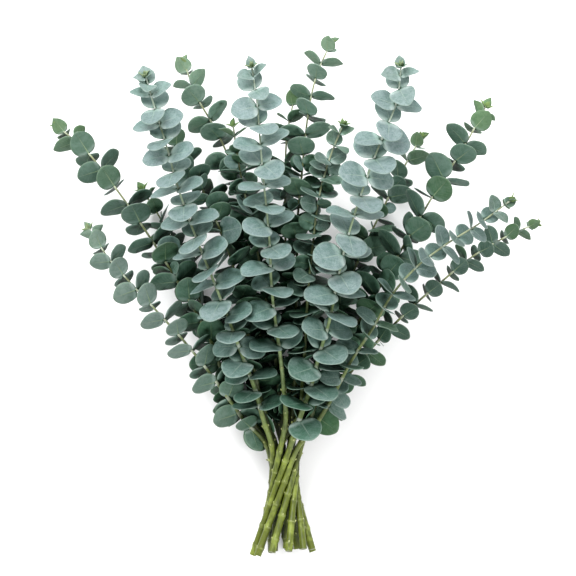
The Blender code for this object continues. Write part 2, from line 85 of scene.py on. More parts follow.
# Ring and place in the neck, y of the cut end, the way of the stem beyond the neck, then the longest
# leaf, its width over its length, the spacing, lean, facing, turn and drift of the pairs in degrees,
# the y of the lowest pair, how far the lowest pairs hang back, and the tone
branches = {
    "centre_pale_branch": dict(
        ring="outer", place=4, cut=1,
        path=((-1, 126, 56), (-3, 178, 82), (-8, 219, 102), (-14, 264, 120), (-16, 310, 133),
              (-20, 355, 143), (-24, 394, 149), (-29, 456, 157), (-34, 490, 162)),
        leaf=31, broad=1.12, gap=21, lean=5, facing=31, turn=8, drift=2, lowest=195, hang=0, tone="pale"),
    "left_pale_branch": dict(
        ring="outer", place=5, cut=2,
        path=((-19, 124, 55), (-32, 171, 80), (-44, 203, 96), (-65, 259, 118), (-87, 314, 134),
              (-106, 366, 147), (-119, 413, 156), (-132, 455, 162), (-139, 480, 165)),
        leaf=30, broad=1.12, gap=17.5, lean=3, facing=31, turn=80, drift=-1, lowest=142, hang=0, tone="pale"),
    "right_pale_branch": dict(
        ring="outer", place=3, cut=0,
        path=((9, 126, 62), (22, 161, 80), (33, 202, 98), (44, 240, 114), (54, 291, 130),
              (65, 333, 140), (79, 376, 148), (93, 413, 154), (105, 443, 158), (113, 467, 161),
              (114, 490, 165)),
        leaf=32, broad=1.12, gap=20.5, lean=5, facing=32, turn=20, drift=1, lowest=136, hang=0.2, tone="pale"),
    "right_grey_branch": dict(
        ring="outer", place=2, cut=0,
        path=((35, 140, 56), (50, 167, 72), (66, 198, 90), (92, 238, 104), (111, 271, 112),
              (142, 301, 117), (168, 319, 117), (203, 341, 114), (225, 358, 112)),
        leaf=23, broad=1.05, gap=17.5, lean=18, facing=26, turn=80, drift=2, lowest=142, hang=0.6, tone="grey"),
    "centre_right_branch": dict(
        ring="inner", place=2, cut=4,
        path=((13, 143, 61), (17, 183, 83), (20, 228, 99), (22, 268, 107), (27, 313, 112),
              (31, 351, 113), (39, 383, 112), (47, 410, 110), (57, 433, 108)),
        leaf=24, broad=1.1, gap=20, lean=14, facing=24, turn=30, drift=3, lowest=170, hang=0, tone="grey"),
    "right_wide_branch": dict(
        ring="outer", place=1, cut=4,
        path=((26, 143, 48), (39, 178, 59), (59, 213, 68), (79, 246, 75), (97, 276, 80),
              (120, 316, 84), (141, 352, 84), (165, 390, 80), (192, 435, 74), (201, 453, 70)),
        leaf=30, broad=1.05, gap=23, lean=18, facing=-30, turn=10, drift=1, lowest=128, hang=1, tone="green"),
    "left_wide_branch": dict(
        ring="outer", place=7, cut=6,
        path=((-36, 138, 35), (-55, 166, 46), (-80, 226, 60), (-97, 256, 62), (-135, 318, 63),
              (-172, 371, 57), (-207, 414, 47), (-232, 434, 40)),
        leaf=29, broad=1.05, gap=23.5, lean=20, facing=-32, turn=100, drift=1, lowest=124, hang=1, 
        tone="green"),
    "left_low_branch": dict(
        ring="outer", place=6, cut=5,
        path=((-38, 131, 46), (-61, 163, 62), (-87, 198, 76), (-114, 230, 82), (-144, 262, 84),
              (-170, 291, 84), (-190, 315, 82), (-198, 330, 80)),
        leaf=26, broad=1.05, gap=21, lean=18, facing=-30, turn=10, drift=2, lowest=128, hang=1, tone="grey"),
    "right_low_branch": dict(
        ring="outer", place=0, cut=5,
        path=((30, 133, 40), (51, 166, 44), (74, 196, 48), (95, 219, 51), (124, 248, 54),
              (161, 280, 56), (194, 306, 56), (237, 329, 54), (252, 335, 53)),
        leaf=21, broad=0.95, gap=17, lean=20, facing=-26, turn=80, drift=1, lowest=128, hang=1, tone="green"),
    "left_middle_branch": dict(
        ring="inner", place=3, cut=5,
        path=((-23, 149, 62), (-34, 198, 74), (-43, 248, 82), (-51, 286, 87), (-64, 323, 91),
              (-80, 360, 93), (-98, 396, 94), (-116, 418, 93), (-126, 434, 92)),
        leaf=27, broad=1.05, gap=24, lean=14, facing=-16, turn=20, drift=2, lowest=165, hang=0.3, tone="green"),
    "centre_tall_branch": dict(
        ring="inner", place=1, cut=3,
        path=((8, 158, 50), (10, 198, 63), (10, 248, 76), (11, 298, 85), (12, 346, 88), (17, 392, 88),
              (20, 430, 84), (26, 464, 79), (35, 497, 72), (45, 517, 68)),
        leaf=28, broad=1.05, gap=21, lean=15, facing=-16, turn=75, drift=1, lowest=175, hang=0.3, tone="green"),
    "centre_back_branch": dict(
        ring="inner", place=4, cut=6,
        path=((-6, 158, 48), (-12, 208, 60), (-20, 258, 70), (-29, 308, 79), (-40, 358, 86),
              (-48, 398, 89), (-53, 433, 90)),
        leaf=26, broad=1.05, gap=25, lean=14, facing=-8, turn=15, drift=2, lowest=170, hang=0.3, tone="green"),
    "centre_slim_branch": dict(
        ring="inner", place=0, cut=7,
        path=((3, 158, 42), (4, 198, 47), (2, 248, 52), (0, 298, 56), (-1, 350, 58), (0, 408, 58),
              (3, 440, 57), (9, 465, 56)),
        leaf=26, broad=1.05, gap=25, lean=18, facing=-16, turn=50, drift=2, lowest=165, hang=0.3, tone="green"),
    "left_tall_branch": dict(
        ring="outer", place=9, cut=6,
        path=((-13, 146, 26), (-20, 188, 25), (-28, 238, 25), (-36, 300, 28), (-45, 352, 33),
              (-58, 402, 38), (-77, 441, 42), (-94, 471, 44), (-103, 498, 46)),
        leaf=29, broad=1.05, gap=23, lean=18, facing=-26, turn=80, drift=1, lowest=178, hang=0.3, tone="green"),
    "left_back_branch": dict(
        ring="outer", place=8, cut=3,
        path=((-31, 146, 26), (-56, 190, 23), (-81, 243, 20), (-95, 275, 20), (-116, 320, 20),
              (-133, 350, 21), (-146, 370, 22)),
        leaf=26, broad=1.05, gap=25, lean=18, facing=-20, turn=10, drift=2, lowest=172, hang=0.3, tone="green"),
    "right_back_branch": dict(
        ring="outer", place=10, cut=7,
        path=((19, 146, 30), (34, 194, 27), (52, 244, 23), (69, 288, 22), (89, 332, 23),
              (107, 368, 24), (124, 401, 26), (137, 423, 28)),
        leaf=28, broad=1.05, gap=25, lean=18, facing=-20, turn=60, drift=2, lowest=162, hang=0.3, tone="green"),
}


def neckPoint(ring, place, along):
    angle = math.radians(ring["first"] + 360.0 * place / ring["stems"])
    run = neck["twist"] * ring["radius"] * along
    return Vector((
        neck["x"] + ring["radius"] * math.cos(angle) + run * math.sin(angle),
        neck["y"] + along,
        neck["height"] + neck["rise"] * along + ring["radius"] * math.sin(angle) - run * math.cos(angle),
    ))


def smoothLine(points, step):
    # centripetal Catmull-Rom, a point every step or so
    ends = [2 * points[0] - points[1], *points, 2 * points[-1] - points[-2]]
    line = [points[0].copy()]
    for i in range(1, len(ends) - 2):
        a, b, c, d = ends[i - 1:i + 3]
        t1 = (b - a).length ** 0.5
        t2 = t1 + (c - b).length ** 0.5
        t3 = t2 + (d - c).length ** 0.5
        count = max(2, round((c - b).length / step))
        for n in range(1, count + 1):
            t = t1 + (t2 - t1) * n / count
            ab = a.lerp(b, t / t1)
            bc = b.lerp(c, (t - t1) / (t2 - t1))
            cd = c.lerp(d, (t - t2) / (t3 - t2))
            abc = ab.lerp(bc, t / t2)
            bcd = bc.lerp(cd, (t - t1) / (t3 - t1))
            line.append(abc.lerp(bcd, (t - t1) / (t2 - t1)))
    return line


class Stem:
    # the centre line of one branch, measured along its length, and its width there
    def __init__(self, form):
        ring = rings[form["ring"]]
        places = (form["cut"] - neck["y"], *neck["stations"])
        start = [neckPoint(ring, form["place"], along) for along in places]
        curve = smoothLine(start + [Vector(p) for p in form["path"]], stemForm["curveStep"])
        count = round(len(curve) * stemForm["curveStep"] / stemForm["step"])
        self.line = [curve[round((len(curve) - 1) * n / count)] for n in range(count + 1)]
        self.reach = [0.0]
        for a, b in zip(self.line, self.line[1:]):
            self.reach.append(self.reach[-1] + (b - a).length)
        self.length = self.reach[-1]
        self.baseWidth = ring["width"]

    def at(self, distance):
        distance = min(max(distance, 0.0), self.length)
        i = 1
        while i < len(self.reach) - 1 and self.reach[i] < distance:
            i += 1
        a, b = self.line[i - 1], self.line[i]
        share = (distance - self.reach[i - 1]) / (self.reach[i] - self.reach[i - 1])
        return a.lerp(b, share), (b - a).normalized()

    def width(self, distance):
        share = distance / self.length
        slender = stemForm["slender"] + (stemForm["tipWidth"] - stemForm["slender"]) * share
        thick = math.exp(-(share / stemForm["taperReach"]) ** stemForm["taperPower"])
        return slender + (self.baseWidth - stemForm["slender"]) * thick

    def distanceOfY(self, y):
        n = next(n for n, place in enumerate(self.line) if place.y >= y)
        below, above = self.line[n - 1].y, self.line[n].y
        return self.reach[n - 1] + (self.reach[n] - self.reach[n - 1]) * (y - below) / (above - below)


def coarseTube(name, stem):
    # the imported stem's six-sided tube, for the leaves to keep clear of
    curve = bpy.data.curves.new(name, "CURVE")
    curve.dimensions = "3D"
    curve.bevel_depth = 0.5
    curve.bevel_resolution = 1
    curve.use_fill_caps = True
    spline = curve.splines.new("POLY")
    spline.points.add(len(stem.line) - 1)
    for point, place, distance in zip(spline.points, stem.line, stem.reach):
        point.co = (*place, 1.0)
        point.radius = stem.width(distance)
    bent = bpy.data.objects.new(name, curve)
    bpy.context.scene.collection.objects.link(bent)
    graph = bpy.context.evaluated_depsgraph_get()
    mesh = bpy.data.meshes.new_from_object(bent.evaluated_get(graph))
    bpy.data.objects.remove(bent)
    bpy.data.curves.remove(curve)
    bm = bmesh.new()
    bm.from_mesh(mesh)
    bmesh.ops.remove_doubles(bm, verts=bm.verts, dist=0.01)
    if min(vert.co.z for vert in bm.verts) < 0:
        whole = bm.verts[:] + bm.edges[:] + bm.faces[:]
        bmesh.ops.bisect_plane(bm, geom=whole, dist=0.001, plane_no=(0, 0, -1), clear_outer=True)
        bmesh.ops.holes_fill(bm, edges=bm.edges)
    bmesh.ops.recalc_face_normals(bm, faces=bm.faces)
    bmesh.ops.triangulate(bm, faces=bm.faces)
    bm.verts.index_update()
    tube = [v.co.copy() for v in bm.verts], [[v.index for v in f.verts] for f in bm.faces]
    bm.free()
    bpy.data.meshes.remove(mesh)
    return tube


def coarseBlade(outline):
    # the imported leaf's outline of unit length, width and thickness, as points and faces
    bm = bmesh.new()
    rows = len(outline)
    bmesh.ops.create_grid(bm, x_segments=1, y_segments=rows - 1, size=0.5)
    for vert in bm.verts:
        along, share = outline[round((vert.co.y + 0.5) * (rows - 1))]
        vert.co = (along, math.copysign(share / 2, vert.co.x), -0.5)
    bmesh.ops.remove_doubles(bm, verts=bm.verts, dist=0.001)
    top = bmesh.ops.extrude_face_region(bm, geom=bm.faces[:])
    for item in top["geom"]:
        if isinstance(item, bmesh.types.BMVert):
            item.co.z = 0.5
    bmesh.ops.recalc_face_normals(bm, faces=bm.faces)
    bm.verts.index_update()
    blade = [v.co.copy() for v in bm.verts], [[v.index for v in f.verts] for f in bm.faces]
    bm.free()
    return blade


def bladePoints(pattern, leaf, extra=0.0):
    points = []
    thick = leafForm["blade"] + 2 * extra
    for p in pattern:
        across = p.y * (leaf["width"] + 2 * extra)
        along = p.x * (leaf["length"] + (extra if p.x > 0 else 0))
        droop = -leaf["curl"] * leaf["length"] * p.x ** 2
        spot = leaf["base"] + leaf["along"] * along + leaf["across"] * across
        spot += leaf["up"] * (droop + p.z * thick)
        lowest = 0.0 if leaf["up"].z * p.z < 0 else leafForm["blade"]
        spot.z = max(spot.z, lowest)
        points.append(spot)
    return points


def leafAt(stem, distance, pose, length, width, curl):
    turn, lean, roll, facing = (math.radians(angle) for angle in pose)
    point, ahead = stem.at(distance)
    facing -= math.asin(ahead.z)
    side = ahead.cross(Vector((0.0, 0.0, 1.0))).normalized()
    above = side.cross(ahead)
    axis = ahead * math.cos(facing) + above * math.sin(facing)
    front = above * math.cos(facing) - ahead * math.sin(facing)
    outward = side * math.sin(turn) + front * math.cos(turn)
    along = outward * math.cos(lean) + axis * math.sin(lean)
    level = axis * math.cos(lean) - outward * math.sin(lean)
    up = level * math.cos(roll) + along.cross(level) * math.sin(roll)
    return dict(
        base=point + along * leafForm["rootPlace"] * stem.width(distance), along=along, up=up,
        across=along.cross(up), length=length, width=width, curl=curl, distance=distance)


def waysToGive():
    # how a leaf gives way to its neighbours, mildest first
    yield 0, 0, 1.0
    for size, reaches in ((1.0, (11, 22)), (0.84, (8, 20, 34)), (0.68, (10, 28, 44))):
        for reach in reaches:
            for turn, lean in ((0, 1), (1, 0), (-1, 0), (0, -1), (1, 1), (-1, 1), (1, -1), (-1, -1)):
                yield turn * reach, lean * reach, size


class Room:
    # what is already in place, as small search trees that know where they are
    def __init__(self):
        self.taken = []

    def add(self, owner, points, faces):
        centre = sum(points, Vector()) / len(points)
        radius = max((p - centre).length for p in points)
        self.taken.append((owner, centre, radius, BVHTree.FromPolygons(points, faces)))

    def isFree(self, points, faces, leaveOut=None):
        centre = sum(points, Vector()) / len(points)
        radius = max((p - centre).length for p in points)
        tree = BVHTree.FromPolygons(points, faces)
        for owner, other, reach, taken in self.taken:
            if owner == leaveOut or (centre - other).length > radius + reach:
                continue
            if tree.overlap(taken):
                return False
        return True


def grown(count, low, ahead, pairs):
    return low + (1 - low) * (1 - math.exp(-(count + ahead) / pairs))


def leafSpots(stem, form):
    lowest = stem.distanceOfY(form["lowest"])
    distance, count = stem.length - stemForm["topmost"], 0
    while distance > lowest:
        yield distance, count
        distance -= form["gap"] * grown(count, **growth["spacing"])
        count += 1


def growLeaves(name, form, stem, room, blades, draw):
    leaves = []
    lowest = stem.distanceOfY(form["lowest"])
    for distance, count in leafSpots(stem, form):
        hang = form["hang"] * math.exp((lowest - distance) / leafForm["hangReach"])
        lean = form["lean"] + leafForm["tipLean"] * (1 - grown(count, **growth["lean"]))
        lean += (leafForm["hangLean"] - lean) * hang
        facing = form["facing"] * (1 + leafForm["tipFacing"] * math.exp(-count / leafForm["facingPairs"]))
        facing += (math.copysign(leafForm["hangFacing"], facing) - facing) * hang
        turn = form["turn"] + count * (90 + form["drift"])
        broad = form["broad"] * grown(count, **growth["width"])
        for opposite in (0, 180):
            length = form["leaf"] * grown(count, **growth["length"]) * draw.uniform(*leafForm["lengthSpread"])
            length = max(length, leafForm["shortest"])
            pattern, faces = blades[length <= leafForm["youngLength"]]
            curl = draw.uniform(*leafForm["curlSpread"])
            turned = turn + opposite + draw.uniform(-leafForm["turnSpread"], leafForm["turnSpread"])
            leant = lean + draw.uniform(-leafForm["leanSpread"], leafForm["leanSpread"])
            rolled = draw.uniform(-leafForm["rollSpread"], leafForm["rollSpread"])
            for moreTurn, moreLean, size in waysToGive():
                pose = (turned + moreTurn, leant + moreLean, rolled, facing)
                leaf = leafAt(stem, distance, pose, length * size, length * size * broad, curl)
                rough = [leaf["base"] + leaf["along"] * leaf["length"] * s for s in (0.0, 0.6, 1.0)]
                if min(spot.z for spot in rough) < -leafForm["mostSunk"]:
                    continue
                if not room.isFree(bladePoints(pattern, leaf, leafForm["clearance"]), faces, leaveOut=name):
                    continue
                leaf["count"] = count
                leaves.append(leaf)
                room.add(name + " leaves", bladePoints(pattern, leaf), faces)
                break
    return leaves


# Leaves that only fill the crowded middle, between the pairs of the dark branches and below them
fillForm = dict(
    lowest=132.0, gap=23.0, length=(18.0, 28.0), broad=1.05, lean=(5.0, 55.0), facing=(-40.0, 30.0),
    roll=(25.0, 75.0), curl=0.06, shortest=11.0, pairs=2, seed=3,
    highest=dict(
        centre_back_branch=400.0, centre_slim_branch=400.0, centre_tall_branch=400.0,
        left_middle_branch=395.0, centre_right_branch=395.0, left_tall_branch=400.0,
        left_back_branch=345.0, right_back_branch=385.0, right_wide_branch=345.0, left_wide_branch=310.0))


def growFill(name, form, stem, room, blades, draw):
    spots = [distance for distance, count in leafSpots(stem, form)]
    spots = [(a + b) / 2 for a, b in zip(spots, spots[1:])] + [spots[-1] - fillForm["gap"] / 2]
    lowest, highest = stem.distanceOfY(fillForm["lowest"]), stem.distanceOfY(fillForm["highest"][name])
    while spots[-1] > lowest:
        spots.append(spots[-1] - fillForm["gap"] / 2)
    pattern, faces = blades[False]
    leaves = []
    for distance in spots:
        turn = draw.uniform(0, 180)
        if not lowest < distance < highest:
            continue
        for n in range(2 * fillForm["pairs"]):
            length = draw.uniform(*fillForm["length"])
            lean, facing = draw.uniform(*fillForm["lean"]), draw.uniform(*fillForm["facing"])
            roll = draw.choice((-1, 1)) * draw.uniform(*fillForm["roll"])
            for moreTurn, moreLean, size in waysToGive():
                pose = (turn + n * 180 / fillForm["pairs"] + moreTurn, lean + moreLean, roll, facing)
                wide = length * size * fillForm["broad"]
                leaf = leafAt(stem, distance, pose, length * size, wide, fillForm["curl"])
                if leaf["length"] < fillForm["shortest"] or leaf["base"].z + leaf["along"].z * length < 0:
                    continue
                if room.isFree(bladePoints(pattern, leaf, leafForm["clearance"]), faces, leaveOut=name):
                    leaf["count"] = 9
                    leaves.append(leaf)
                    room.add(name + " leaves", bladePoints(pattern, leaf), faces)
                    break
    return leaves


# Hand tools
def deselectAll():
    if bpy.context.object and bpy.context.object.mode != "OBJECT":
        bpy.ops.object.mode_set(mode="OBJECT")
    bpy.ops.object.select_all(action="DESELECT")


def pick(*pieces):
    deselectAll()
    for piece in pieces:
        piece.select_set(True)
    bpy.context.view_layer.objects.active = pieces[0]
    return pieces[0]


def copyPiece(model, name):
    piece = model.copy()
    piece.data = model.data.copy()
    piece.name = name
    bpy.context.scene.collection.objects.link(piece)
    return piece


def joinPieces(pieces, name):
    pick(*pieces)
    if len(pieces) > 1:
        bpy.ops.object.join()
    whole = bpy.context.object
    whole.name = name
    return whole


def applyModifiers(piece):
    pick(piece)
    for modifier in list(piece.modifiers):
        bpy.ops.object.modifier_apply(modifier=modifier.name)


def selectVerts(piece, wanted):
    # in edit mode, selects the vertices that wanted(place) says yes to
    bm = bmesh.from_edit_mesh(piece.data)
    bm.select_mode = {"VERT"}
    for vert in bm.verts:
        vert.select_set(bool(wanted(vert.co)))
    bm.select_flush_mode()
    bmesh.update_edit_mesh(piece.data)


# The leaf, modelled once as a flat round sheet: its base at the origin, its tip at x = 1
sheetForm = dict(segments=6, width=1.0)
leafLook = dict(
    thickness=0.5, cup=(0.02, 0.10), wave=(0.008, 0.028), waves=1.4, lobes=0.16, ovate=0.20,
    youngOvate=0.55, youngTip=0.16, grownTip=0.035, foldYoung=0.16, seed=23)


def modelLeafSheet():
    deselectAll()
    n = sheetForm["segments"]
    bpy.ops.mesh.primitive_grid_add(x_subdivisions=n, y_subdivisions=n, size=sheetForm["width"])
    sheet = bpy.context.object
    sheet.name = "leaf_sheet"
    sheet.data.uv_layers[0].name = "leafPlace"
    bpy.ops.object.mode_set(mode="EDIT")
    for ring in range(1, n // 2 + 1):  # each square ring of the grid becomes a round one
        half = sheetForm["width"] * ring / n
        selectVerts(sheet, lambda co: abs(max(abs(co.x), abs(co.y)) - half) < 0.001)
        bpy.ops.transform.tosphere(value=1.0)
    bpy.ops.object.mode_set(mode="OBJECT")
    size = sheet.dimensions
    for vert in sheet.data.vertices:
        vert.co = (vert.co.x / size.x + 0.5, vert.co.y / size.y, 0.0)
    bpy.ops.object.mode_set(mode="EDIT")
    bpy.ops.mesh.select_all(action="SELECT")
    bpy.ops.mesh.flip_normals()  # a leaf's own axes are left-handed
    bpy.ops.object.mode_set(mode="OBJECT")
    print("leaf sheet", len(sheet.data.polygons), "faces")
    return sheet


def leafPoint(leaf, look, x, y):
    # where a point of the flat sheet is on this leaf, in mm
    side = abs(2 * y)
    lobes = look["lobes"] * side ** 1.5 * max(0.0, 1 - x / 0.35) ** 2
    point = look["tip"] * max(0.0, 1 - side / 0.5) ** 1.5 * max(0.0, (x - 0.7) / 0.3)
    reach = x * (1 - look["tip"] * 0.5) - lobes + point
    across = y * (1 + look["ovate"] * (0.45 - x)) * leaf["width"]
    bend = -leaf["curl"] * leaf["length"] * x ** 2
    bend += look["cup"] * leaf["width"] * side ** 1.7
    bend += look["wave"] * leaf["width"] * side ** 2 * math.sin(
        math.tau * (look["waves"] * x + look["phase"]) + (math.pi if y > 0 else 0.0))
    spot = leaf["base"] + leaf["along"] * reach * leaf["length"] + leaf["across"] * across + leaf["up"] * bend
    spot.z = max(spot.z, leafLook["thickness"] / 2)
    return spot


def modelLeaf(sheet, name, leaf, look, share):
    piece = copyPiece(sheet, name)
    tone = piece.data.attributes.new("leafTone", "FLOAT_VECTOR", "POINT")
    for vert, mark in zip(piece.data.vertices, tone.data):
        vert.co = (leafPoint(leaf, look, vert.co.x, vert.co.y) + bunch["shift"]) * mm
        mark.vector = (look["youth"], look["chance"], share)
    return piece


def leafCharacter(leaf, draw):
    youth = max(0.0, 1 - leaf["count"] / 3.2)  # above 1 in the shoot, 0 from the fourth pair down
    return dict(
        youth=youth, chance=draw.random(), phase=draw.random(), waves=leafLook["waves"],
        cup=draw.uniform(*leafLook["cup"]) + leafLook["foldYoung"] * min(youth, 1.0),
        wave=draw.uniform(*leafLook["wave"]), lobes=leafLook["lobes"] * max(0.0, 1 - youth),
        ovate=leafLook["ovate"] + (leafLook["youngOvate"] - leafLook["ovate"]) * youth,
        tip=leafLook["grownTip"] + (leafLook["youngTip"] - leafLook["grownTip"]) * youth)


# The stem: a smooth tube that swells at each node, ringed below the leaves
stemLook = dict(
    step=2.0, resolution=4, swell=0.20, swellReach=2.0, leafSwell=0.10, bareGap=(19.0, 26.0),
    endBevel=0.5, pith=0.45, dish=0.25)
budForm = dict(segments=8, rings=5, length=3.4, width=1.7, point=0.7)


def smoothStem(stem):
    # (points, distances) of the finer centre line
    line = smoothLine(stem.line, stemLook["step"])
    reach = [0.0]
    for a, b in zip(line, line[1:]):
        reach.append(reach[-1] + (b - a).length)
    scale = stem.length / reach[-1]
    return line, [r * scale for r in reach]


def nodesOfStem(stem, form, draw):
    # distances of the nodes: where leaves are, and on the bare length below
    leafNodes = [distance for distance, count in leafSpots(stem, form)]
    bareNodes, distance = [], leafNodes[-1]
    while True:
        distance -= draw.uniform(*stemLook["bareGap"])
        if distance < 6.0:
            return leafNodes, bareNodes
        bareNodes.append(distance)


def modelStem(name, stem, leafNodes, bareNodes):
    line, reach = smoothStem(stem)
    deselectAll()
    bpy.ops.curve.primitive_bezier_curve_add()
    tube = bpy.context.object
    curve = tube.data
    curve.splines.clear()
    curve.bevel_depth = 0.5 * mm
    curve.bevel_resolution = stemLook["resolution"]
    curve.use_fill_caps = True
    spline = curve.splines.new("POLY")
    spline.points.add(len(line) - 1)
    rise = {}
    for n, (point, place, distance) in enumerate(zip(spline.points, line, reach)):
        bare = sum(math.exp(-((distance - d) / stemLook["swellReach"]) ** 2) for d in bareNodes)
        leafy = sum(math.exp(-((distance - d) / stemLook["swellReach"]) ** 2) for d in leafNodes)
        point.co = (*((place + bunch["shift"]) * mm), 1.0)
        point.radius = stem.width(distance) * (1 + stemLook["swell"] * bare + stemLook["leafSwell"] * leafy)
        rise[n] = (distance / stem.length, bare, leafy)
    pick(tube)
    bpy.ops.object.convert(target="MESH")
    tube = bpy.context.object
    bpy.ops.object.mode_set(mode="EDIT")
    bpy.ops.mesh.select_all(action="SELECT")
    bpy.ops.mesh.remove_doubles(threshold=0.01 * mm)
    bpy.ops.mesh.normals_make_consistent(inside=False)
    cutEnd = (line[0] + bunch["shift"]) * mm
    bm = bmesh.from_edit_mesh(tube.data)
    bm.select_mode = {"FACE"}
    for face in bm.faces:
        face.select_set(len(face.verts) > 4 and (face.calc_center_median() - cutEnd).length < 2 * mm)
    bmesh.update_edit_mesh(tube.data)
    bpy.ops.mesh.inset(thickness=stemLook["endBevel"] * mm)
    bm = bmesh.from_edit_mesh(tube.data)
    for face in bm.faces:
        if face.select:
            face.material_index = 1
    bmesh.update_edit_mesh(tube.data)
    bpy.ops.mesh.inset(thickness=stem.width(0) / 2 * stemLook["pith"] * mm)
    inward = (line[1] - line[0]).normalized() * stemLook["dish"] * mm
    bpy.ops.transform.translate(value=inward)
    bpy.ops.object.mode_set(mode="OBJECT")
    tree = KDTree(len(line))
    for n, place in enumerate(line):
        tree.insert((place + bunch["shift"]) * mm, n)
    tree.balance()
    place = tube.data.attributes.new("stemPlace", "FLOAT_VECTOR", "POINT")
    for vert, mark in zip(tube.data.vertices, place.data):
        mark.vector = rise[tree.find(vert.co)[1]]
        vert.co.z = max(vert.co.z, 0.0)
    tube.name = name
    bpy.ops.object.shade_smooth()
    bpy.ops.object.shade_smooth_by_angle(angle=math.radians(50))
    return tube


def modelBud():
    # a pointed bud, its base at the origin and its point at x = 1
    deselectAll()
    bpy.ops.mesh.primitive_uv_sphere_add(
        segments=budForm["segments"], ring_count=budForm["rings"], radius=0.5)
    bud = bpy.context.object
    bud.name = "bud"
    bpy.ops.transform.rotate(value=math.radians(90), orient_axis="Y", center_override=(0, 0, 0))
    bpy.ops.object.transform_apply(rotation=True)
    bpy.ops.object.mode_set(mode="EDIT")
    selectVerts(bud, lambda co: co.x > 0.3)
    bpy.ops.transform.resize(value=(1.0, budForm["point"], budForm["point"]))
    bpy.ops.object.mode_set(mode="OBJECT")
    far = max(vert.co.x for vert in bud.data.vertices)
    turned = 1 if far > 0 else -1
    for vert in bud.data.vertices:
        vert.co.x = vert.co.x * turned + 0.35
    return bud


def placeBud(model, name, stem, distance, turn, size):
    point, ahead = stem.at(distance)
    side = ahead.cross(Vector((0.0, 0.0, 1.0))).normalized()
    above = side.cross(ahead)
    outward = side * math.sin(turn) + above * math.cos(turn)
    lie = (ahead * 0.85 + outward * 0.5).normalized()
    wide = ahead.cross(outward).normalized()
    thick = lie.cross(wide)
    start = point + outward * stem.width(distance) * 0.42
    bud = copyPiece(model, name)
    for vert in bud.data.vertices:
        x, y, z = vert.co
        spot = start + lie * x * budForm["length"] * size + wide * y * budForm["width"] * size
        vert.co = (spot + thick * z * budForm["width"] * size + bunch["shift"]) * mm
    return bud


# How much of the sky each point of the bunch sees, for the painted shade: in the crowded middle the colours are
# painted darker and greener
skyForm = dict(rays=14, lowest=0.12, reach=120.0, lift=0.6)


def skyWays():
    ways = []
    for n in range(skyForm["rays"]):
        height = skyForm["lowest"] + (1 - skyForm["lowest"]) * (n + 0.5) / skyForm["rays"]
        flat = math.sqrt(1 - height ** 2)
        angle = n * math.radians(137.5)
        ways.append(Vector((flat * math.cos(angle), flat * math.sin(angle), height)))
    return ways


def solidTree(pieces):
    points, faces = [], []
    for piece in pieces:
        first = len(points)
        points += [vert.co.copy() for vert in piece.data.vertices]
        faces += [[first + n for n in face.vertices] for face in piece.data.polygons]
    return BVHTree.FromPolygons(points, faces)


def markSky(piece, tree, ways, twoSided):
    sky = piece.data.attributes.new("openSky", "FLOAT", "POINT")
    for vert, mark in zip(piece.data.vertices, sky.data):
        outward = -vert.normal if twoSided and vert.normal.z < 0 else vert.normal
        place = vert.co + outward * skyForm["lift"] * mm
        free = [way for way in ways if tree.ray_cast(place, way, skyForm["reach"] * mm)[0] is None]
        mark.value = len(free) / len(ways)


# Finishes
class Signal:
    # a socket that takes part in sums
    def __init__(self, finish, socket):
        self.finish = finish
        self.socket = socket

    def maths(self, operation, *values, clamp=False):
        settings = dict(operation=operation, use_clamp=clamp)
        return self.finish.add("ShaderNodeMath", settings, dict(enumerate(values)))

    def __add__(self, other):
        return self.maths("ADD", self, other)

    def __sub__(self, other):
        return self.maths("SUBTRACT", self, other)

    def __rsub__(self, other):
        return self.maths("SUBTRACT", other, self)

    def __mul__(self, other):
        return self.maths("MULTIPLY", self, other)

    def __pow__(self, other):
        return self.maths("POWER", self, other)

    def __abs__(self):
        return self.maths("ABSOLUTE", self)

    def most(self, other):
        return self.maths("MAXIMUM", self, other)

    def clamped(self):
        return self.maths("ADD", self, 0.0, clamp=True)

    def rises(self, low, high):
        # 0 below low, 1 above high, smooth between them
        return self.finish.add(
            "ShaderNodeMapRange", dict(interpolation_type="SMOOTHSTEP"),
            {"Value": self, "From Min": low, "From Max": high})

    __radd__ = __add__
    __rmul__ = __mul__


